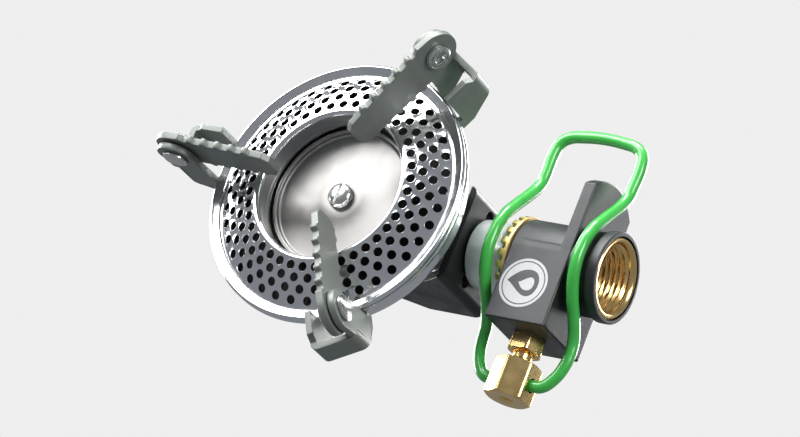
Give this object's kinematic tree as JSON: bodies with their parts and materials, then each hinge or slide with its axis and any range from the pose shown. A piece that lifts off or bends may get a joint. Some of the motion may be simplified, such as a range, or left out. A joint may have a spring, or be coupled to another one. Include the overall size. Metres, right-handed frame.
{
  "type": "canister stove",
  "caption": "Folding gas canister stove with a perforated burner, swing-out pot supports, a brass valve spindle and a folding wire handle.",
  "frame": {"origin": "centre of the connector's mouth, where the gas canister screws in", "axes": "+Z along the gas path from the canister to the burner; -X along the control spindle; the folded burner faces -Y"},
  "size_m": [0.0554, 0.0358, 0.0755],
  "materials": {
    "black_anodised": "satin black anodised aluminium",
    "brass": "turned brass, bright",
    "black_rubber": "nitrile rubber",
    "pale_aluminium": "satin clear anodised aluminium",
    "black_steel": "black oxide steel",
    "plain_steel": "bare stainless steel",
    "polished_steel": "polished stainless steel sheet",
    "coated_steel": "grey-green coated steel sheet",
    "green_coating": "glossy green coated steel wire"
  },
  "bodies": {
    "valve_assembly": {"valve_body": "black_anodised", "connector_insert": "brass", "canister_seal": "black_rubber", "canister_valve_pin": "brass", "inlet_filter": "plain_steel", "gas_jet": "brass", "gland_nut": "brass", "gland_seal": "black_rubber", "air_ring": "brass", "mixing_tube": "pale_aluminium", "hinge_yoke": "black_steel", "hinge_pin_left": "plain_steel", "hinge_pin_right": "plain_steel", "hinge_washer_left": "plain_steel", "hinge_washer_right": "plain_steel"},
    "spindle": {"control_spindle": "brass"},
    "handle": {"wire_handle": "green_coating"},
    "burner_head": {"burner_barrel": "black_steel", "burner_cup": "polished_steel", "rim_ring": "polished_steel", "flame_ring": "polished_steel", "centre_plate": "plain_steel", "centre_screw": "plain_steel", "screw_bridge": "plain_steel", "support_bracket_1": "coated_steel", "support_bracket_2": "coated_steel", "support_bracket_3": "coated_steel", "support_rivet_1": "plain_steel", "support_rivet_2": "plain_steel", "support_rivet_3": "plain_steel"},
    "support_arm_1": {"pot_support_1": "coated_steel"},
    "support_arm_2": {"pot_support_2": "coated_steel"},
    "support_arm_3": {"pot_support_3": "coated_steel"}
  },
  "joints": [
    {"name": "burner_fold", "type": "hinge", "parent": "valve_assembly", "child": "burner_head", "pos_m": [0, 0, 0.045], "axis": [-1, 0, 0], "range_deg": [0, 90]},
    {"name": "valve_turn", "type": "hinge", "parent": "valve_assembly", "child": "spindle", "pos_m": [-0.015, 0, 0.0112], "axis": [-1, 0, 0], "range_deg": [-2, 2]},
    {"name": "handle_fold", "type": "hinge", "parent": "spindle", "child": "handle", "pos_m": [-0.0203, 0, 0.0112], "axis": [0, 0, -1], "range_deg": [0, 180]},
    {"name": "pot_support_1_swing", "type": "hinge", "parent": "burner_head", "child": "support_arm_1", "pos_m": [0.02304, -0.0242, 0.0317], "axis": [0.5, 0, 0.866], "range_deg": [0, 170]},
    {"name": "pot_support_2_swing", "type": "hinge", "parent": "burner_head", "child": "support_arm_2", "pos_m": [-0.02304, -0.0242, 0.0317], "axis": [0.5, 0, -0.866], "range_deg": [0, 170]},
    {"name": "pot_support_3_swing", "type": "hinge", "parent": "burner_head", "child": "support_arm_3", "pos_m": [0, -0.0242, 0.0716], "axis": [-1, 0, 0], "range_deg": [0, 170]}
  ]
}
